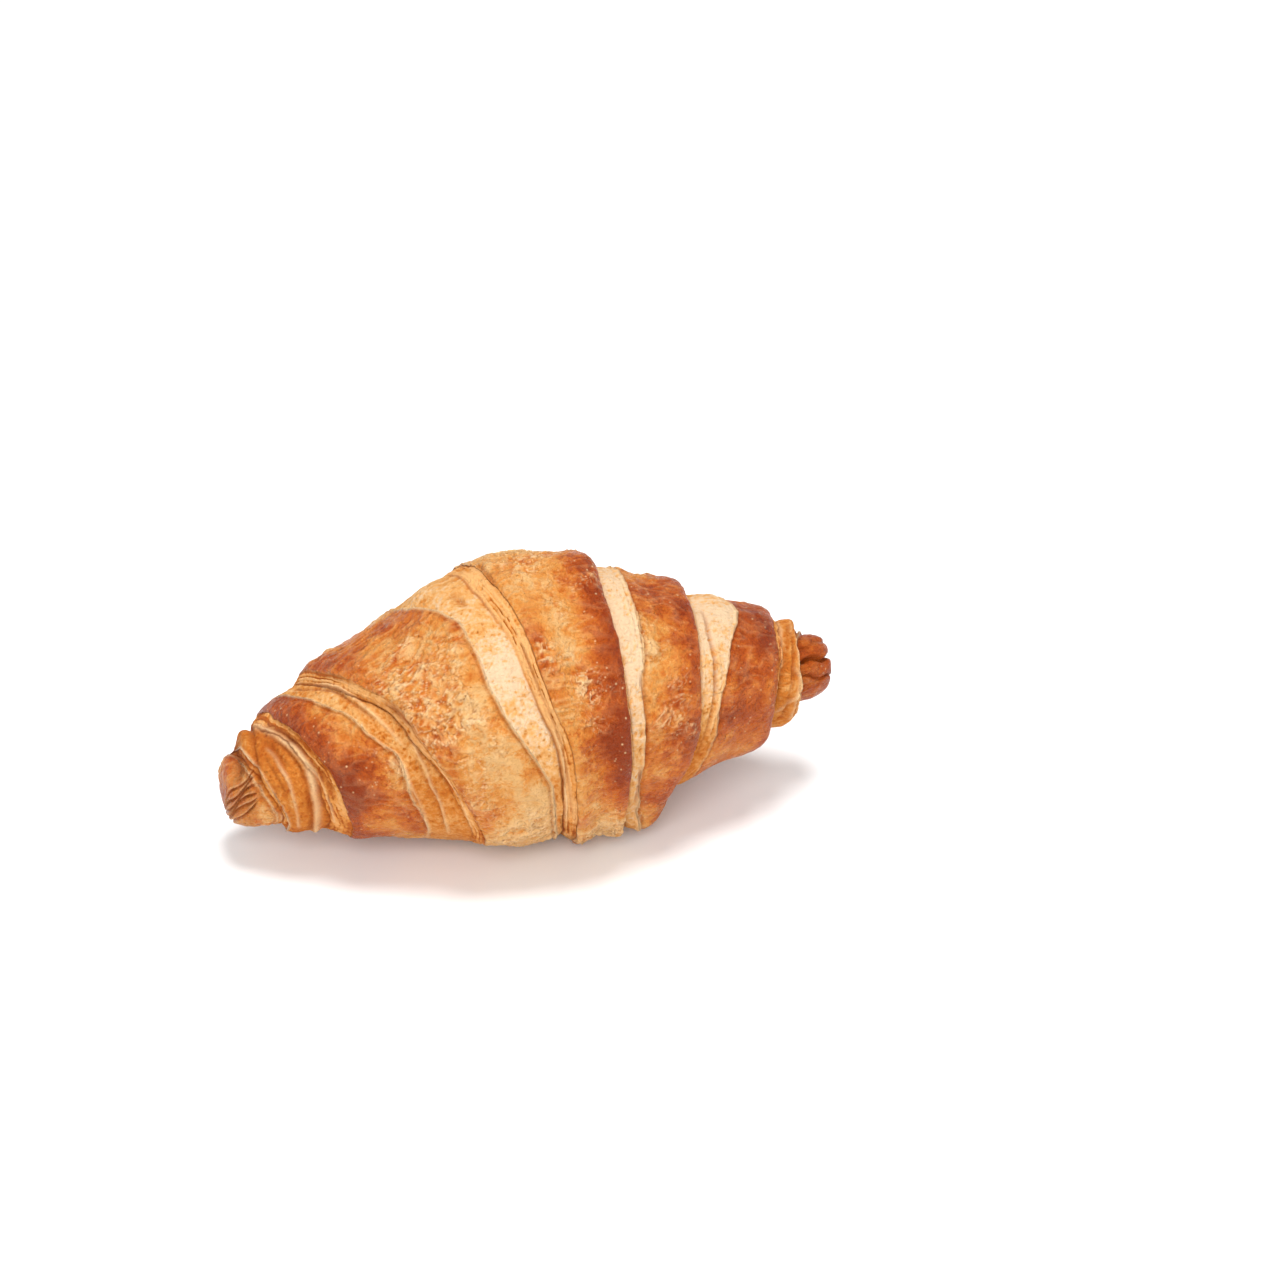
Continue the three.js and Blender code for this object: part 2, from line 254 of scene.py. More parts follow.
# How large the surface's features are.
PUFF_SIZE = 19
DENT_SIZE = 6.5
WRINKLE_SIZE = np.array([8, 2.4, 2.4])  # longer along the roll than round it
LEAF_SIZE = np.array([12, 6, 6])
BLISTER_CELL = 2.6  # one blister or none in each
PORE_CELL = 1.2
CRINKLE_SIZE = 2.3
FINE_CRINKLE_SIZE = 1.1
PATCH_SIZE = 15  # of the browning
LOOSE_SIZE = 14  # of the flaky regions
FLAKE_SIZE = 4.5
TOAST_SIZE = 9
CALM_ENDS = (72, 85)  # distances over which the large features fade

# The grid: columns across one wrap, the shares of them that end the cut and the bare dough, and
# rows once round.
COLUMNS = 100
CUT_COLUMNS = 0.2
BARE_COLUMNS = 0.46
ROWS = 640
CUT_SHARE = 0.45  # the most of a wrap's width that its cut takes
BARE_SHARE = 0.97  # the most of the rest that its bare dough takes
STEP_START = 0.5  # turns after which the first wrap's columns gather towards the next step
MIDDLE_START = 0.6  # turns after which the line between the two edges runs to the tip
FAR = 99.0  # from an edge that the innermost wrap doesn't have
TINY = 1e-9  # a width too small to divide by

# The view: degrees round from the front, degrees up, and in metres the point looked at and how far
# off the camera is.
CAMERA_AZIMUTH = -14.4
CAMERA_ELEVATION = 30
CAMERA_TARGET = (0.0256, 0.0, 0.0462)
CAMERA_DISTANCE = 0.7
CAMERA_LENS = 83.6
SENSOR_WIDTH = 36

# The studio, in metres and watts: each lamp's name, place, diameter and power, the point that both
# of them face, the sky's strength and half the floor's width.
LAMPS = [
    ("top", (0.1, 0.03, 1.3), 0.6, 15),
    ("front", (-0.3, -1.0, 0.75), 0.9, 11),
]
LIT_POINT = (0, 0, 0.03)
SKY_STRENGTH = 0.45
FLOOR_SIZE = 6.0


# ---------------------------------------------------------------- curves and noise


def smoothstep(low, high, value):
    share = np.clip((value - low) / (high - low), 0.0, 1.0)
    return share * share * (3 - 2 * share)


def mix(a, b, share):
    return a + (b - a) * share


def bell(distance, width):
    """One in the middle, and fading over a width."""
    return np.exp(-((distance / width) ** 2))


def curve(pairs, place):
    """A smooth curve through pairs of places and values, which never overshoots them."""
    knots, values = np.array(pairs, float).T
    runs = np.diff(knots)
    rises = np.diff(values) / runs
    before, after = rises[:-1], rises[1:]
    level = before * after <= 0
    shared = np.where(level, 1.0, before + after)
    inner = np.where(level, 0.0, 2 * before * after / shared)
    slopes = np.concatenate([rises[:1], inner, rises[-1:]])
    place = np.clip(place, knots[0], knots[-1])
    number = np.clip(np.searchsorted(knots, place, "right") - 1, 0, len(runs) - 1)
    run = runs[number]
    t = (place - knots[number]) / run
    return (
        (2 * t**3 - 3 * t**2 + 1) * values[number]
        + (t**3 - 2 * t**2 + t) * run * slopes[number]
        + (3 * t**2 - 2 * t**3) * values[number + 1]
        + (t**3 - t**2) * run * slopes[number + 1]
    )


SEED = 11
PARTS = 16  # that a long list of points is measured in
dice = np.random.default_rng(SEED)
SHUFFLE = np.concatenate([dice.permutation(256)] * 3)
GRADIENTS = dice.normal(size=(256, 3))
GRADIENTS /= np.linalg.norm(GRADIENTS, axis=1)[:, None]
SCATTER = dice.random((256, 3))


def cell_number(ix, iy, iz):
    return SHUFFLE[SHUFFLE[SHUFFLE[ix & 255] + (iy & 255)] + (iz & 255)]


def in_parts(measure):
    """Runs a measure of many points on all the processor's cores."""

    def shared(points):
        with ThreadPoolExecutor() as workers:
            parts = list(workers.map(measure, np.array_split(points, PARTS)))
        if isinstance(parts[0], tuple):
            return tuple(np.concatenate(part) for part in zip(*parts))
        return np.concatenate(parts)

    return shared


@in_parts
def noise(points):
    """Gradient noise from about -1 to 1."""
    cell = np.floor(points).astype(int)
    inside = points - cell
    fade = inside**3 * (inside * (inside * 6 - 15) + 10)
    total = np.zeros(points.shape[:-1])
    for corner in np.ndindex(2, 2, 2):
        number = cell_number(*(cell[..., axis] + corner[axis] for axis in range(3)))
        slope = np.einsum("...i,...i->...", GRADIENTS[number], inside - np.array(corner))
        weight = 1.0
        for axis in range(3):
            weight = weight * (fade[..., axis] if corner[axis] else 1 - fade[..., axis])
        total += slope * weight
    return total * 1.5


def cloud(points, octaves, gain=0.5):
    """Noise summed over finer and finer octaves."""
    total, size = 0.0, 1.0
    for octave in range(octaves):
        total = total + size * noise(points * 2.0**octave + 17.3 * octave)
        size *= gain
    return total


@in_parts
def bubbles(points):
    """Distance to the nearest of the points scattered one to a cell, and that cell's own number."""
    cell = np.floor(points).astype(int)
    nearest = np.full(points.shape[:-1], 9.0)
    chosen = np.zeros(points.shape[:-1])
    for step in np.ndindex(3, 3, 3):
        here = cell + np.array(step) - 1
        number = cell_number(*(here[..., axis] for axis in range(3)))
        distance = np.linalg.norm(here + SCATTER[number] - points, axis=-1)
        closer = distance < nearest
        nearest = np.where(closer, distance, nearest)
        chosen = np.where(closer, number / 255.0, chosen)
    return nearest, chosen


# ---------------------------------------------------------------- the roll


def outline_table(side):
    """The outline as distances along the skin, stations and radii."""
    stations, shares = zip(*OUTLINE[side])
    place = np.linspace(0, len(stations) - 1, 2000)
    station = curve(list(enumerate(stations)), place) * HALF_LENGTH
    radius = np.maximum(curve(list(enumerate(shares)), place) * BELLY_RADIUS, 0)
    steps = np.hypot(np.diff(station), np.diff(radius))
    return np.concatenate([[0], np.cumsum(steps)]), station, radius


PROFILE = {side: outline_table(side) for side in ("left", "right")}
SIGN = {"left": -1, "right": 1}


def along(table, side, turns):
    """A table's value on the spiral of one side, after some turns from the tip."""
    return curve(table[side], turns)


def wander(side, turns, scale, seed):
    """Noise along a spiral edge."""
    spread = np.full_like(turns, seed)
    return noise(np.stack([turns * scale, spread, spread * 0.37 + 5.5 * SIGN[side]], -1))


def edge_place(side, turns):
    """Where an edge lies along the skin towards its own end, after some turns from the tip."""
    place = curve([*EDGE[side], (TURNS, PROFILE[side][0][-1])], turns)
    start = TIP_PLACE * SIGN[side]
    young = np.clip(1 - turns / TIP_ROUNDING, 0, 1)
    widening = np.sqrt(1 - young * young)
    place = start + (place - start) * widening + TIP_WIDTH / 2 * young * widening
    calm = smoothstep(0.02, 0.15, turns) * (1 - smoothstep(3.2, 3.7, turns))
    ragged = 0.35 * wander(side, turns, 9, 3.1) + 0.25 * wander(side, turns, 23, 7.7)
    ragged = ragged + 0.22 * wander(side, turns, 70, 9.3)
    return place + calm * ragged


def finer_share(across, width, cut, bare):
    """How far over a wrap each column lies, with more of the columns on its cut and bare dough."""
    some_width = np.maximum(width, TINY)
    cut_share = np.where(width > TINY, cut / some_width, CUT_COLUMNS)
    bare_share = np.where(width > TINY, (cut + bare) / some_width, BARE_COLUMNS)
    on_cut = across / CUT_COLUMNS
    on_bare = (across - CUT_COLUMNS) / (BARE_COLUMNS - CUT_COLUMNS)
    on_skin = (across - BARE_COLUMNS) / (1 - BARE_COLUMNS)
    share = np.where(
        across < BARE_COLUMNS,
        mix(cut_share, bare_share, on_bare),
        mix(bare_share, 1, on_skin),
    )
    return np.where(across < CUT_COLUMNS, on_cut * cut_share, share)


def lay_grid():
    """For every point of the grid: its place on the roll, and where it lies between the edges."""
    rows = np.arange(ROWS + 1) / ROWS
    columns = np.arange(-(TURNS + 1) * COLUMNS, (TURNS + 1) * COLUMNS + 1)
    shape = (len(rows), len(columns))
    names = "distance from_edge to_edge width cut bare turn_in step_in step_out toast browning"
    skin = SimpleNamespace(**{name: np.zeros(shape) for name in names.split()})
    skin.rows, skin.columns = rows, columns
    wrap_of = np.minimum(np.abs(columns) // COLUMNS, TURNS)
    across_of = np.abs(columns) / COLUMNS - wrap_of
    turns = rows[:, None]
    for side, sign in SIGN.items():
        other_side = "right" if side == "left" else "left"
        for wrap in range(TURNS + 1):
            mine = np.flatnonzero((np.where(columns < 0, -1, 1) == sign) & (wrap_of == wrap))
            across = across_of[mine][None, :]
            outer = edge_place(side, turns + wrap)
            if wrap:
                turn_in = turns + wrap - 1
                inner, stepped = edge_place(side, turn_in), 1.0
            else:
                other = edge_place(other_side, turns)
                turn_in = np.zeros_like(turns)
                inner = mix((outer - other) / 2, TIP_PLACE * sign, smoothstep(MIDDLE_START, 1, turns))
                stepped = smoothstep(STEP_START, 1, turns)
            width = outer - inner
            cut = along(CUT, side, turn_in) * (1 + 0.2 * wander(side, turn_in, 9, 21.3))
            cut = np.minimum(cut, width * CUT_SHARE)
            bare = along(BARE, side, turn_in) * (1 + 0.12 * wander(side, turn_in, 11, 31.9))
            bare = bare + 0.25 * wander(side, turn_in, 60, 35.0)
            bare = np.clip(bare, 0, (width - cut) * BARE_SHARE)
            share = mix(across, finer_share(across, width, cut, bare), stepped)
            skin.distance[:, mine] = sign * (inner + share * width)
            skin.from_edge[:, mine] = share * width if wrap else FAR
            skin.to_edge[:, mine] = (1 - share) * width
            skin.width[:, mine] = width
            skin.cut[:, mine] = cut
            skin.bare[:, mine] = bare
            skin.turn_in[:, mine] = turn_in
            skin.step_in[:, mine] = along(STEP, side, turn_in) if wrap else 0
            skin.step_out[:, mine] = along(STEP, side, turns + wrap)
            skin.toast[:, mine] = along(TOAST, side, turn_in)
            skin.browning[:, mine] = along(BROWNING, side, turns + wrap)
            edge = along(EDGE_BROWNING, side, turns + wrap)
            skin.browning[:, mine] += edge * bell(skin.to_edge[:, mine], BROWN_REACH)
            if wrap == 0:
                across_crown = np.abs(skin.distance[:, mine] + sign * other)
                edge = along(EDGE_BROWNING, other_side, turns)
                skin.browning[:, mine] += edge * bell(across_crown, BROWN_REACH)
    skin.left = np.broadcast_to(columns < 0, shape)
    skin.angle = np.broadcast_to(np.radians(TIP_ANGLE - 360 * turns), shape)
    return skin


def both_sides(skin, value_of, turns):
    """A value along the spirals, taken for each point from the spiral of its own side."""
    return np.where(skin.left, value_of("left", turns), value_of("right", turns))


def body_points(skin, height):
    """Points of the roll's skin raised by a height over the smooth body, in millimetres."""
    points = np.zeros((*skin.distance.shape, 3))
    nudge = 0.4  # to either side of a point, for the outline's slope there
    for side, sign in SIGN.items():
        mine = (skin.distance < 0) == (sign < 0)
        reach, angle, raised = np.abs(skin.distance[mine]), skin.angle[mine], height[mine]
        lengths, stations, radii = PROFILE[side]
        rise = np.interp(reach + nudge, lengths, radii) - np.interp(reach - nudge, lengths, radii)
        run = np.interp(reach + nudge, lengths, stations) - np.interp(reach - nudge, lengths, stations)
        size = np.maximum(np.hypot(rise, run), TINY)
        station = np.interp(reach, lengths, stations) - raised * rise / size
        radius = np.maximum(np.interp(reach, lengths, radii) + raised * run / size, 0)
        bend = (station / HALF_LENGTH) ** 2
        points[mine, 0] = sign * station
        points[mine, 1] = BOW * bend - radius * np.sin(angle)
        points[mine, 2] = BELLY_HEIGHT - DROOP[side] * bend + radius * np.cos(angle)
    return points


# ---------------------------------------------------------------- the baked surface


def shoulder(skin):
    """The rise of a wrap towards its own edge, and its rounding there."""
    reach = np.clip(skin.width, TINY, SHOULDER_REACH)
    swell = smoothstep(0, 1, 1 - skin.to_edge / reach)
    turned = np.clip(1 - skin.to_edge / ROUNDING_REACH, 0, 1)
    return SHOULDER_RISE * swell - ROUNDING * (1 - np.sqrt(1 - turned**2))


def step_face(skin, waves):
    """The face of a step, from the edge down to its foot, in leaves of dough, and its crevice."""
    down = np.clip(skin.from_edge / np.maximum(skin.cut, TINY), 0, 1)
    ripple = both_sides(skin, lambda side, turns: wander(side, turns, 31, 47.0), skin.turn_in)
    leaves = np.clip(np.round(skin.cut * LEAVES_PER_MM), 1, MOST_LEAVES)
    stair = down * leaves + np.sin(np.pi * down) * (0.5 * waves + 0.2 * ripple)
    number, leaf = np.floor(stair), stair - np.floor(stair)
    gap = np.minimum(leaf, 1 - leaf)
    open_gap = noise(np.stack([skin.turn_in * 12, number * 3.7, 8.1 + 4.4 * skin.left], -1))
    open_gap = smoothstep(-0.15, 0.45, open_gap)
    tone = noise(np.stack([skin.turn_in * 16, number * 5.1, 2.2 + 4.4 * skin.left], -1))
    # painted shade: the leaves are coloured darker where the gap between two of them lies open
    skin.leaf = np.clip(0.85 + 0.6 * tone - 0.9 * open_gap * bell(gap, 0.16), 0, 1)

    inside = np.sin(np.pi * down) ** 0.5
    face = mix(SHOULDER_RISE - ROUNDING, -GROOVE_DEPTH * 0.8, down)
    face += inside * (0.25 * np.sin(np.pi * leaf) ** 0.7 - 0.6 * open_gap * bell(gap, 0.13))
    crevice_shown = both_sides(skin, lambda side, turns: wander(side, turns, 8, 71.0), skin.turn_in)
    crevice = smoothstep(-0.1, 0.3, crevice_shown) * bell(skin.from_edge - 0.3, 0.25)
    return face - 0.4 * crevice, crevice


def torn_strands(skin, beyond):
    """Torn strands lying along the bare dough, more of them where it is hidden at the back."""
    hidden = 0.5 - 0.5 * np.sin(skin.angle)
    strands = np.zeros_like(beyond)
    for place, seed in ((0.35, 61.0), (0.68, 67.0)):
        drift = both_sides(skin, lambda side, turns: wander(side, turns, 5, seed), skin.turn_in)
        shown = both_sides(skin, lambda side, turns: wander(side, turns, 7, seed + 2), skin.turn_in)
        line = beyond - skin.bare * (place + 0.3 * drift)
        strands += bell(line, 0.28) * smoothstep(0, 0.3, shown + hidden - 0.5) * (beyond > 0)
    return strands


def raise_edges(skin):
    """The steps between the wraps: the shoulder above, the torn face and the bare dough below."""
    waves = both_sides(skin, lambda side, turns: wander(side, turns, 7, 43.0), skin.turn_in)
    face, crevice = step_face(skin, waves)

    # the bare dough beyond the foot, with a tear along its start
    beyond = skin.from_edge - skin.cut
    groove_reach = np.clip(skin.width - skin.cut, TINY, GROOVE_REACH)
    groove = -GROOVE_DEPTH * 0.8 * (1 - smoothstep(0, 1, beyond / groove_reach))
    tear_shown = both_sides(skin, lambda side, turns: wander(side, turns, 5, 53.0), skin.turn_in)
    tear = smoothstep(-0.5, 0.2, tear_shown) * bell(beyond, 0.3)
    strands = torn_strands(skin, beyond)
    bulge = np.clip(beyond / np.maximum(skin.bare, TINY), 0, 1)
    bulge = 0.55 * np.sin(np.pi * bulge) ** 0.7 * np.minimum(skin.bare / 6, 1)

    # the lip where the washed skin begins
    lip_line = beyond - skin.bare
    lip = bell(lip_line, 0.32) * (0.55 + 0.45 * smoothstep(-0.3, 0.3, tear_shown + 0.6 * waves))
    under_lip = bell(lip_line - 0.85, 0.35)
    ground = groove + bulge + 0.7 * lip - 0.3 * under_lip + 0.3 * strands - 0.9 * tear
    below = np.where(beyond < 0, face, ground)

    present = smoothstep(0, 0.35, skin.step_in)
    skin.cutting = present * (beyond < 0)
    skin.washed = 1 - present * (1 - smoothstep(-0.2, 0.2, lip_line))
    # painted shade: the tear, the dip under the lip and the crevice are coloured dark
    skin.crease = present * np.clip(0.85 * tear + 0.55 * under_lip + 0.7 * crevice * (beyond < 0), 0, 1)
    # the raised lip and the strands are coloured pale: paler dough, and a painted highlight
    skin.pale = present * np.clip(0.9 * lip + 0.6 * strands, 0, 1)
    return skin.step_in * below + skin.step_out * shoulder(skin)


def draw_lines(skin):
    """The single lines of torn dough: sunk ones are also painted dark as shade, raised ones pale as a
    highlight.
    """
    height = np.zeros_like(skin.distance)
    for number, (side, rise, width, path) in enumerate(LINES):
        first, last = path[0][0], path[-1][0]
        lengths, _, radii = PROFILE[side]
        for wrap in range(int(first), int(last) + 1):
            turns = skin.rows + wrap
            rows = np.flatnonzero((turns > first) & (turns < last))
            if len(rows) < 3:
                continue
            turns = turns[rows]
            place = curve(path, turns) + 0.3 * wander(side, turns, 25, 80.0 + number)
            around = 2 * math.pi * np.interp(np.abs(place), lengths, radii)
            lean = np.hypot(1, np.gradient(place, turns) / around)
            shown = smoothstep(first, first + LINE_FADE, turns)
            shown = shown * smoothstep(last, last - LINE_FADE, turns)
            shown = shown * (0.75 + 0.5 * wander(side, turns, 17, 90.0 + number))
            offset = (SIGN[side] * skin.distance[rows] - place[:, None]) / lean[:, None]
            mark = np.clip(shown, 0, 1)[:, None] * bell(offset, width)
            height[rows] += rise * mark
            # sunk lines are painted dark as shade, raised ones pale as a highlight
            colour = skin.crease if rise < 0 else skin.pale
            colour[rows] = np.clip(colour[rows] + min(abs(rise) + 0.2, 1) * mark, 0, 1)
    return height


def crumple_ends(skin):
    """The folded dough at the two ends of the roll, with painted shade in its creases, gap and hollow
    core.
    """
    reach = np.abs(skin.distance)
    lengths, _, radii = PROFILE["right"]
    radius = np.interp(reach, lengths, radii)
    upward = radius * np.cos(skin.angle + math.radians(CREASE_TILT))
    height, dark = np.zeros_like(reach), np.zeros_like(reach)
    right = smoothstep(*RIGHT_END, reach) * ~skin.left
    for place, depth, width in RIGHT_CREASES:
        line = upward - place + 0.5 * np.sin(reach * 0.9 + place)
        height -= right * depth * bell(line, width)
        # painted shade in each crease, and the whole right end coloured a little darker
        dark += right * (0.12 + min(depth, 1) * bell(line, width))
    left = smoothstep(*LEFT_END, reach) * skin.left
    for place, depth, width in LEFT_CREASES:
        line = upward - place + 0.5 * np.sin(reach * 0.7 + place) + 0.35 * (reach - 77)
        height -= left * depth * bell(line, width)
        # painted shade in each left crease, and a painted highlight along its upper side
        dark += left * 0.9 * bell(line, width)
        skin.pale = np.clip(skin.pale + left * 0.45 * bell(line - 0.5, 0.22), 0, 1)

    # the left end's core is sunk, inside a raised ring with a gap behind it; the core and the gap are
    # painted dark as shade
    core, ring, gap = (bell(reach - place, width) for place, width in (LEFT_CORE, LEFT_RING, LEFT_GAP))
    hollow = left * core * smoothstep(-1, 3, upward)
    collar = skin.left * smoothstep(-8, 2, upward)
    height += 0.8 * collar * ring - 0.9 * collar * gap - 2.6 * hollow
    # the left end is also coloured darker towards its underside
    dark += hollow + 0.8 * collar * gap + 0.45 * left * smoothstep(3.5, -2, upward)
    skin.crease = np.clip(skin.crease + dark, 0, 1)
    return height


def bake_surface(skin, points):
    """Puffing, flakes, wrinkles and blisters, as a height over the steps, with their painted light and
    shade for the colour.
    """
    puff = 0.7 * cloud(points / PUFF_SIZE, 2) + 0.3 * cloud(points / DENT_SIZE + 14.0, 2)
    upward = np.cos(skin.angle)
    calm = 1 - smoothstep(*CALM_ENDS, np.abs(skin.distance))
    washed, flaky = skin.washed, skin.flaky
    bent = points + 2.0 * cloud(points / 8, 2)[..., None]

    # wrinkles run along the roll, where the washed skin shrank over the puffed dough
    ridges = np.clip(1 - np.abs(noise(bent / WRINKLE_SIZE)) * 2.6, 0, 1) ** 1.6
    crumpled = smoothstep(-0.2, 0.4, noise(points / 13 + 4.4) + 0.3 * smoothstep(0, 0.9, upward))
    wrinkled = ridges * np.maximum(crumpled * (1 - skin.browning), flaky) * washed

    # thin leaves of skin lie over each other and end in ragged lines, with a painted highlight on their
    # rims and painted shade at their feet
    field = cloud(bent / LEAF_SIZE + 12.0, 4, 0.6)
    leaves, rim, foot = 0, 0, 0
    for level in (-0.2, 0.2):
        line = field - level
        leaves = leaves + smoothstep(-0.03, 0.03, line)
        rim = rim + bell(line - 0.05, 0.035)
        foot = foot + bell(line + 0.03, 0.03)

    # blisters
    distance, number = bubbles(points / BLISTER_CELL + 0.3 * cloud(points / 2, 1)[..., None])
    size = 0.2 + 0.25 * number
    dome = np.clip(1 - (distance / size) ** 2, 0, 1) * (number > 0.45)
    dome = dome * washed * smoothstep(-0.1, 0.3, noise(points / 12 + 9.1)) * (0.2 + 0.8 * flaky)

    # the bare dough is porous, and everything is finely crinkled; the pores are also painted darker
    hole, depth = bubbles(points / PORE_CELL + 0.3 * cloud(points / 1.3 + 6.0, 1)[..., None])
    pit = (1 - washed) * smoothstep(0.36, 0.18, hole) * (depth > 0.3)
    crimped = points + 0.7 * cloud(points / 2.2 + 2.0, 2)[..., None]
    crinkle = 1 - 2.6 * np.abs(noise(crimped / CRINKLE_SIZE + 61.0))
    crinkle += 0.8 * (1 - 2.6 * np.abs(noise(crimped / FINE_CRINKLE_SIZE + 66.0)))
    crinkle -= crinkle.mean()

    # painted highlight on the flakes' rims and the wrinkles' ridges
    skin.pale = np.clip(skin.pale + 0.9 * rim * flaky + 0.25 * wrinkled, 0, 1)
    # painted shade at the flakes' feet
    skin.crease = np.clip(skin.crease + 0.7 * foot * flaky, 0, 1)
    rough = mix(1.0, 0.45 + 0.4 * flaky, washed)
    # painted light and shade for the colour only: crinkle ridges, wrinkles and blisters lighter, crinkle
    # valleys and pores darker
    skin.relief = 0.3 * crinkle * rough + 0.35 * dome - 0.55 * pit + 0.3 * wrinkled
    height = puff + 0.45 * wrinkled + 0.3 * leaves * flaky + 0.3 * dome
    return calm * height + mix(0.09, 0.15, washed) * rough * crinkle - 0.25 * pit


def spots(skin, table):
    """The sum of a table's round patches at every point."""
    total = np.zeros_like(skin.distance)
    for side, turns, place, radius, amount in table:
        around = 2 * math.pi * np.interp(place, *PROFILE[side][::2])
        away = (TIP_ANGLE / 360 - np.degrees(skin.angle) / 360 - turns + 0.5) % 1 - 0.5
        apart = np.hypot(away * around, SIGN[side] * skin.distance - place)
        total += amount * bell(apart, radius)
    return total


def brown(skin, points, height):
    """How dark each point of the washed skin bakes."""
    patchy = cloud(points / PATCH_SIZE + 31.0, 4, 0.55)
    return np.clip(skin.browning + spots(skin, STAINS) + 0.32 * patchy + 0.03 * height, 0, 1)


def loosen(skin, points):
    """How loosely the skin lies in flakes, from tight to fully flaked."""
    chance = 0.4 * noise(points / LOOSE_SIZE + 21.0) + 0.02 + 0.3 * (np.sin(skin.angle) < -0.2)
    light = 1 - 0.8 * smoothstep(0.4, 0.65, skin.browning)
    broken = 0.45 * cloud(points / 7 + 27.0, 2)
    return smoothstep(0.0, 0.85, chance + spots(skin, FLAKES) + broken) * light * skin.washed


def flaking(skin, points):
    """Where the loose skin has flaked pale."""
    bent = points + 1.6 * cloud(points / 4 + 3.3, 2)[..., None]
    field = cloud(bent / FLAKE_SIZE + 41.0, 4, 0.7)
    return skin.flaky * (0.42 + 0.6 * field)


# ---------------------------------------------------------------- the mesh


def weld(skin):
    """The grid points that become vertices, and the vertex that each point of the grid uses."""
    reach = np.abs(skin.columns)
    rows, columns = len(skin.rows), len(skin.columns)
    number = np.arange(rows * columns).reshape(rows, columns)
    home = number.copy()
    centre = (TURNS + 1) * COLUMNS
    home[0, reach <= COLUMNS] = number[0, centre]
    home[:, 0], home[:, -1] = number[0, 0], number[0, -1]
    outward = np.where(skin.columns < 0, -COLUMNS, COLUMNS)
    for column, distance in enumerate(reach):
        if distance >= TURNS * COLUMNS:
            home[-1, column] = number[0, 0] if skin.columns[column] < 0 else number[0, -1]
        else:
            home[-1, column] = home[0, column + outward[column]]
    used, compact = np.unique(home, return_inverse=True)
    return used, compact.reshape(rows, columns)


def build_mesh(name, skin, points, attributes):
    """The closed mesh of the grid's points, with a value of each attribute at every vertex."""
    used, vertex = weld(skin)
    mesh = bpy.data.meshes.new(name)
    mesh.vertices.add(len(used))
    flat = points.reshape(-1, 3)[used] * MM
    mesh.vertices.foreach_set("co", flat.ravel())
    quads = np.stack([vertex[:-1, :-1], vertex[:-1, 1:], vertex[1:, 1:], vertex[1:, :-1]], -1)
    quads = quads.reshape(-1, 4)
    row, column = np.indices(vertex.shape)
    row_count, column_count = vertex.shape
    uv = np.stack([column / column_count, row / row_count], -1)
    uvs = np.stack([uv[:-1, :-1], uv[:-1, 1:], uv[1:, 1:], uv[1:, :-1]], -2).reshape(-1, 4, 2)

    # where points share a vertex, a cell is a triangle or nothing
    kept = quads != np.roll(quads, -1, axis=1)
    distinct = kept.sum(axis=1)
    whole = distinct == 4
    whole &= (quads[:, 0] != quads[:, 2]) & (quads[:, 1] != quads[:, 3])
    pinched = np.flatnonzero(distinct == 3)
    loops = np.concatenate([quads[whole].ravel(), quads[pinched][kept[pinched]]])
    loop_uvs = np.concatenate([uvs[whole].reshape(-1, 2), uvs[pinched][kept[pinched]]])
    totals = np.concatenate([np.full(whole.sum(), 4), np.full(len(pinched), 3)])
    starts = np.concatenate([[0], np.cumsum(totals)[:-1]])

    mesh.loops.add(len(loops))
    mesh.loops.foreach_set("vertex_index", loops.astype(np.int32))
    mesh.polygons.add(len(totals))
    mesh.polygons.foreach_set("loop_start", starts.astype(np.int32))
    mesh.polygons.foreach_set("loop_total", totals.astype(np.int32))
    mesh.update(calc_edges=True)
    mesh.uv_layers.new(name="OFBake")
    mesh.uv_layers["OFBake"].data.foreach_set("uv", loop_uvs.ravel().astype(np.float32))
    for label, values in attributes.items():
        layer = mesh.attributes.new(label, "FLOAT", "POINT")
        at_vertices = np.broadcast_to(values, vertex.shape).ravel()[used]
        layer.data.foreach_set("value", at_vertices.astype(np.float32))
    mesh.shade_smooth()
    return mesh


def make_croissant():
    """The croissant's skin, one closed mesh, with what its material needs to know at each point."""
    skin = lay_grid()
    smooth = body_points(skin, np.zeros_like(skin.distance))
    height = raise_edges(skin) + draw_lines(skin) + crumple_ends(skin) + spots(skin, PUFFS)
    skin.flaky = loosen(skin, smooth)
    flaked = flaking(skin, smooth)
    height = height + bake_surface(skin, smooth) + 0.2 * smoothstep(0.3, 0.6, flaked)
    points = body_points(skin, height)
    points[..., 2] = np.maximum(points[..., 2], 0)
    attributes = {
        "washed": skin.washed,
        "cutting": skin.cutting,
        "leaf": skin.leaf,
        "crease": skin.crease,
        "pale": skin.pale,
        "toast": skin.toast + 0.16 * cloud(smooth / TOAST_SIZE + 71.0, 3),
        "tone": brown(skin, smooth, height),
        "relief": skin.relief,
        "flaked": flaked,
    }
    mesh = build_mesh("croissant_skin", skin, points, attributes)
    croissant = bpy.data.objects.new("croissant_crust", mesh)
    bpy.context.scene.collection.objects.link(croissant)
    return croissant


# ---------------------------------------------------------------- materials


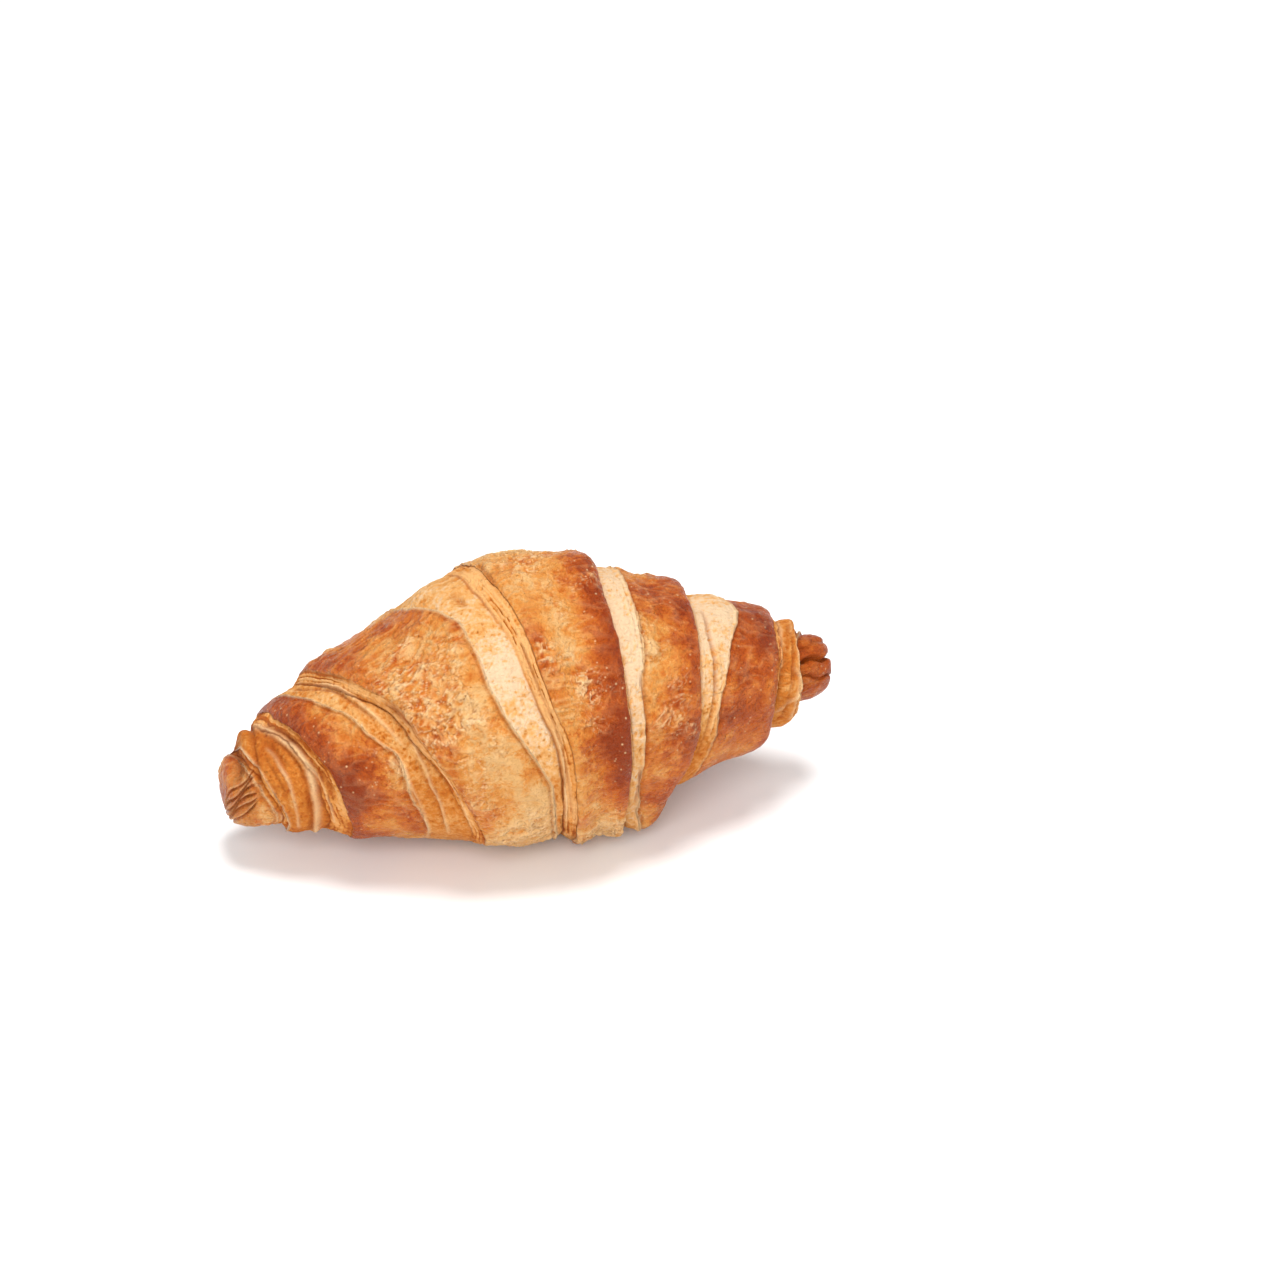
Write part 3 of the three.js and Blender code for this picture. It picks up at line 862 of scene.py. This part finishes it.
class Nodes:
    """Short calls for building one material's nodes."""

    def __init__(self, material):
        material.use_nodes = True
        self.tree = material.node_tree
        self.shader = self.tree.nodes["Principled BSDF"]

    def put(self, value, socket):
        if isinstance(value, bpy.types.NodeSocket):
            self.tree.links.new(value, socket)
        else:
            socket.default_value = value

    def attribute(self, name):
        node = self.tree.nodes.new("ShaderNodeAttribute")
        node.attribute_name = name
        return node.outputs["Fac"]

    def math(self, operation, a, b=0.0):
        node = self.tree.nodes.new("ShaderNodeMath")
        node.operation = operation
        self.put(a, node.inputs[0])
        self.put(b, node.inputs[1])
        return node.outputs[0]

    def ramp(self, value, *stops):
        node = self.tree.nodes.new("ShaderNodeValToRGB")
        self.put(value, node.inputs["Fac"])
        points = node.color_ramp.elements
        while len(points) < len(stops):
            points.new(1.0)
        for point, (place, colour) in zip(points, stops):
            point.position = place
            point.color = (*colour, 1.0)
        return node.outputs["Color"]

    def spread(self, value, low, high, to_low=0.0, to_high=1.0):
        node = self.tree.nodes.new("ShaderNodeMapRange")
        node.interpolation_type = "SMOOTHSTEP"
        for number, item in enumerate((value, low, high, to_low, to_high)):
            self.put(item, node.inputs[number])
        return node.outputs["Result"]

    def blend(self, share, a, b):
        node = self.tree.nodes.new("ShaderNodeMix")
        node.data_type = "RGBA"
        self.put(share, node.inputs["Factor"])
        for value, socket in ((a, node.inputs[6]), (b, node.inputs[7])):
            self.put(value if isinstance(value, bpy.types.NodeSocket) else (*value, 1.0), socket)
        return node.outputs[2]

    def noise(self, scale, detail=3.0, roughness=0.5, stretch=(1, 1, 1), seed=0.0):
        place = self.tree.nodes.new("ShaderNodeTexCoord")
        move = self.tree.nodes.new("ShaderNodeMapping")
        self.put(place.outputs["Object"], move.inputs["Vector"])
        move.inputs["Scale"].default_value = stretch
        move.inputs["Location"].default_value = (seed, seed * 0.7, seed * 0.3)
        node = self.tree.nodes.new("ShaderNodeTexNoise")
        self.put(move.outputs["Vector"], node.inputs["Vector"])
        node.inputs["Scale"].default_value = scale
        node.inputs["Detail"].default_value = detail
        node.inputs["Roughness"].default_value = roughness
        return node.outputs["Fac"]

    def blister_glint_dots(self, scale, size):
        """Small round dots, one in some of the cells of a scattered pattern."""
        place = self.tree.nodes.new("ShaderNodeTexCoord")
        node = self.tree.nodes.new("ShaderNodeTexVoronoi")
        self.put(place.outputs["Object"], node.inputs["Vector"])
        node.inputs["Scale"].default_value = scale
        chosen = self.math("GREATER_THAN", node.outputs["Color"], 0.55)
        return self.math("MULTIPLY", self.spread(node.outputs["Distance"], 0, size, 1, 0), chosen)

    def bump(self, height, distance, normal=None):
        node = self.tree.nodes.new("ShaderNodeBump")
        self.put(height, node.inputs["Height"])
        node.inputs["Distance"].default_value = distance
        if normal is not None:
            self.put(normal, node.inputs["Normal"])
        return node.outputs["Normal"]


# Linear colours of the crust, from bare dough to the darkest shoulder.
CREAM = (0.79, 0.56, 0.35)
BUTTER = (0.76, 0.39, 0.13)
TOASTED = (0.59, 0.19, 0.028)
TANNED = (0.45, 0.1, 0.01)
GOLD = (0.72, 0.4, 0.15)
HONEY = (0.67, 0.265, 0.055)
AMBER = (0.56, 0.148, 0.02)
RUSSET = (0.41, 0.07, 0.008)
CHESTNUT = (0.25, 0.03, 0.005)
LEAF_PALE = (0.82, 0.43, 0.16)
LEAF_GOLD = (0.69, 0.265, 0.055)
# brown leaves, and painted shade in the gaps between them
LEAF_BROWN_AND_GAP_SHADE = (0.46, 0.11, 0.015)
# pale dough, and a painted highlight on raised lips, strands, flake rims and blisters
PALE_DOUGH_AND_HIGHLIGHT = (0.88, 0.62, 0.34)
FLAKED = (0.8, 0.48, 0.21)
# painted shade in cracks, creases, gaps and hollows, and the darker brown of the crumpled ends
SHADE_AND_DARK_END_BROWN = (0.3, 0.05, 0.005)
GLOSS_TINT = (1.0, 0.62, 0.3, 1.0)
GLOSS = 0.35
BARE_ROUGHNESS = 0.8
WASHED_ROUGHNESS = 0.3

# How fine the crust's textures are, in features to a metre, and how deep its bumps are in metres.
MOTTLE_SCALE = 300
SPECKLE_SCALE = 1150
FOLD_SCALE = 150
FOLDED_PATCH_SCALE = 45
DOT_SCALE = 650
RIPPLE_SCALE = 240
SPECKLE_DEPTH = 0.001
RIPPLE_DEPTH = 0.002

FLOOR_WHITE = (0.97, 0.97, 0.97)
FLOOR_GREY = (0.95, 0.95, 0.95)
FLOOR_ROUGHNESS = 0.9
FLOOR_GLOSS = 0.1


def crust_material():
    """Egg-washed skin, bare dough and torn leaves, told apart by the mesh's attributes."""
    material = bpy.data.materials.new("crust")
    n = Nodes(material)
    washed, cutting = n.attribute("washed"), n.attribute("cutting")
    mottle = n.math("SUBTRACT", n.noise(MOTTLE_SCALE, 5, 0.68), 0.5)
    speckle = n.math("SUBTRACT", n.noise(SPECKLE_SCALE, 4, 0.7, seed=2.0), 0.5)
    relief = n.attribute("relief")
    grain_and_relief_shading = n.math("ADD", n.math("MULTIPLY", mottle, 0.62), n.math("MULTIPLY", speckle, 0.36))
    # the relief's painted light and shade: raised places lighter, pits and valleys darker
    grain_and_relief_shading = n.math("SUBTRACT", grain_and_relief_shading, n.math("MULTIPLY", relief, 0.5))

    # thin darker lines in patches, painted shade of fine folds that the mesh doesn't have
    fold_shade = n.noise(FOLD_SCALE, 4, 0.6, stretch=(0.7, 1, 1), seed=5.0)
    fold_shade = n.math("ABSOLUTE", n.math("SUBTRACT", fold_shade, 0.5))
    fold_shade = n.math("MULTIPLY", n.spread(fold_shade, 0, 0.02, 1, 0), washed)
    folded = n.spread(n.noise(FOLDED_PATCH_SCALE, 2, seed=8.0), 0.5, 0.62)
    fold_shade = n.math("MULTIPLY", fold_shade, folded)

    # the washed skin, its flakes, and small pale dots: pale blisters with a painted glint
    tone = n.math("ADD", n.attribute("tone"), grain_and_relief_shading)
    tone = n.math("ADD", tone, n.math("MULTIPLY", fold_shade, 0.14))
    wash_stops = ((0.0, GOLD), (0.2, HONEY), (0.4, AMBER), (0.6, RUSSET), (0.85, CHESTNUT))
    wash_colour = n.ramp(tone, *wash_stops)
    flaked = n.math("SUBTRACT", n.attribute("flaked"), n.math("MULTIPLY", grain_and_relief_shading, 0.7))
    flaked = n.spread(flaked, 0.3, 0.8)
    wash_colour = n.blend(n.math("MULTIPLY", flaked, 0.7), wash_colour, FLAKED)
    # painted glints on blisters, more of them on darker skin
    blister_glint_dots = n.math("MULTIPLY", n.blister_glint_dots(DOT_SCALE, 0.26), n.math("MULTIPLY", n.attribute("tone"), 0.9))
    wash_colour = n.blend(blister_glint_dots, wash_colour, PALE_DOUGH_AND_HIGHLIGHT)

    # the bare dough, and the leaves of the cut
    crumb_and_relief_shading = n.math("MULTIPLY", n.math("ADD", mottle, n.math("MULTIPLY", speckle, 2.2)), 0.3)
    # the relief's painted light and shade: raised places lighter, pores darker
    crumb_and_relief_shading = n.math("SUBTRACT", crumb_and_relief_shading, n.math("MULTIPLY", relief, 0.4))
    toast = n.math("ADD", n.attribute("toast"), crumb_and_relief_shading)
    bare_colour = n.ramp(toast, (0.05, CREAM), (0.3, BUTTER), (0.62, TOASTED), (0.95, TANNED))
    leaf_tone = n.math("SUBTRACT", n.attribute("leaf"), n.math("MULTIPLY", grain_and_relief_shading, 0.8))
    leaf_tone = n.math("SUBTRACT", leaf_tone, n.math("MULTIPLY", n.attribute("toast"), 0.75))
    leaf_colour = n.ramp(leaf_tone, (0.05, LEAF_BROWN_AND_GAP_SHADE), (0.3, LEAF_GOLD), (0.65, LEAF_PALE))

    colour = n.blend(washed, bare_colour, wash_colour)
    colour = n.blend(cutting, colour, leaf_colour)
    # paler dough and painted highlight on raised lips, strands, flake rims and wrinkle ridges
    colour = n.blend(n.math("MULTIPLY", n.attribute("pale"), 0.85), colour, PALE_DOUGH_AND_HIGHLIGHT)
    # painted shade: cracks, creases, gaps and hollows are coloured dark brown, and the crumpled ends
    # darker
    colour = n.blend(n.math("MULTIPLY", n.attribute("crease"), 0.75), colour, SHADE_AND_DARK_END_BROWN)
    n.put(colour, n.shader.inputs["Base Color"])

    rough = n.spread(washed, 0, 1, BARE_ROUGHNESS, WASHED_ROUGHNESS)
    n.put(n.math("ADD", rough, n.math("MULTIPLY", mottle, 0.3)), n.shader.inputs["Roughness"])
    n.shader.inputs["Specular IOR Level"].default_value = GLOSS
    n.shader.inputs["Specular Tint"].default_value = GLOSS_TINT
    fine = n.bump(speckle, SPECKLE_DEPTH)
    ripple = n.noise(RIPPLE_SCALE, 4, 0.5, stretch=(0.8, 1, 1), seed=11.0)
    ripple = n.math("MULTIPLY", ripple, n.spread(washed, 0, 1, 0.5, 1))
    n.put(n.bump(ripple, RIPPLE_DEPTH, fine), n.shader.inputs["Normal"])
    return material


def floor_material():
    """Matt, nearly white, and slightly uneven."""
    material = bpy.data.materials.new("studio_floor")
    n = Nodes(material)
    white = n.blend(n.noise(3, 2), FLOOR_GREY, FLOOR_WHITE)
    n.put(white, n.shader.inputs["Base Color"])
    n.shader.inputs["Roughness"].default_value = FLOOR_ROUGHNESS
    n.shader.inputs["Specular IOR Level"].default_value = FLOOR_GLOSS
    return material


# ---------------------------------------------------------------- the studio


def make_floor():
    """The wide floor that the croissant lies on, which isn't part of it."""
    mesh = bpy.data.meshes.new("studio_floor")
    corners = [(x * FLOOR_SIZE, y * FLOOR_SIZE, 0) for x, y in ((-1, -1), (1, -1), (1, 1), (-1, 1))]
    mesh.from_pydata(corners, [], [(0, 1, 2, 3)])
    mesh.materials.append(floor_material())
    floor = bpy.data.objects.new("studio_floor", mesh)
    bpy.context.scene.collection.objects.link(floor)


def aim(direction):
    """The turn that points a lamp or a camera in a direction."""
    return direction.to_track_quat("-Z", "Y").to_euler()


def make_light(name, place, size, power):
    lamp = bpy.data.lights.new(name, "AREA")
    lamp.shape = "DISK"
    lamp.size = size
    lamp.energy = power
    light = bpy.data.objects.new(name, lamp)
    light.location = place
    light.rotation_euler = aim(Vector(LIT_POINT) - Vector(place))
    bpy.context.scene.collection.objects.link(light)


def make_camera():
    """The main view: from the front, a little to the left and from above."""
    azimuth, elevation = math.radians(CAMERA_AZIMUTH), math.radians(CAMERA_ELEVATION)
    level = math.cos(elevation)
    back = Vector((math.sin(azimuth) * level, -math.cos(azimuth) * level, math.sin(elevation)))
    lens = bpy.data.cameras.new("camera")
    lens.sensor_width = SENSOR_WIDTH
    lens.lens = CAMERA_LENS
    camera = bpy.data.objects.new("camera", lens)
    camera.location = Vector(CAMERA_TARGET) + back * CAMERA_DISTANCE
    camera.rotation_euler = aim(-back)
    bpy.context.scene.collection.objects.link(camera)
    bpy.context.scene.camera = camera


def light_studio():
    """A white sky all round, and the lamps."""
    world = bpy.data.worlds.new("studio")
    bpy.context.scene.world = world
    world.use_nodes = True
    sky = world.node_tree.nodes["Background"]
    sky.inputs["Color"].default_value = (1.0, 1.0, 1.0, 1.0)
    sky.inputs["Strength"].default_value = SKY_STRENGTH
    for lamp in LAMPS:
        make_light(*lamp)
    bpy.context.scene.view_settings.view_transform = "Standard"
    bpy.context.scene.view_settings.look = "None"


croissant = make_croissant()
croissant.data.materials.append(crust_material())
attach(croissant, "root")
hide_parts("croissant")

make_floor()
light_studio()
make_camera()
